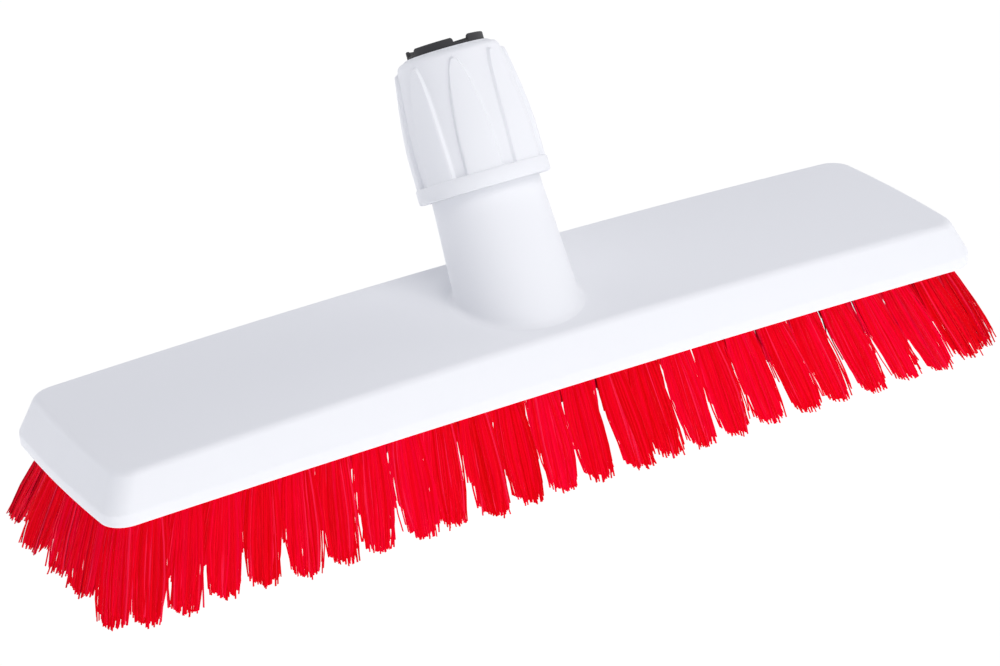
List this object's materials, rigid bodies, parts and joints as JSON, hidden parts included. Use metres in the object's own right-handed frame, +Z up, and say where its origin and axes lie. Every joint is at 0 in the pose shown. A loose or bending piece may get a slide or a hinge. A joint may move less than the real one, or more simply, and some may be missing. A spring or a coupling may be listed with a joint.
{
  "type": "floor scrub brush",
  "caption": "Long floor scrub brush head with splayed red bristle tufts and a leaning socket whose threaded collar clamps a split collet on a round handle.",
  "frame": {"origin": "on the floor under the middle of the brush's overall box, at the level of the trimmed bristle tips", "axes": "+X along the block's length, +Y towards the side that the socket leans to, +Z up from the floor"},
  "size_m": [0.3208, 0.0902, 0.1283],
  "materials": {
    "white_plastic": "satin moulded polypropylene",
    "black_plastic": "matt moulded nylon",
    "red_bristle": "satin extruded filament"
  },
  "bodies": {
    "head": {"brush_block": "white_plastic", "socket_stem": "white_plastic", "bristles_front_row": "red_bristle", "bristles_front_inner_rows": "red_bristle", "bristles_rear_inner_rows": "red_bristle", "bristles_rear_row": "red_bristle"},
    "collet": {"grip_collet": "black_plastic"},
    "collar": {"lock_collar": "white_plastic"}
  },
  "joints": [
    {"name": "collet_rise", "type": "slide", "parent": "head", "child": "collet", "axis": [0, 0.4462, 0.8949], "range_m": [-0.0015, 0.006]},
    {"name": "collar_turn", "type": "hinge", "parent": "collet", "child": "collar", "pos_m": [0, 0.01997, 0.1014], "axis": [0, 0.4462, 0.8949], "range_deg": [-90.5, 360.5]}
  ],
  "couplings": [
    {"joint": "collar_turn", "follows": "collet_rise", "rad_per_m": 1047.2}
  ]
}
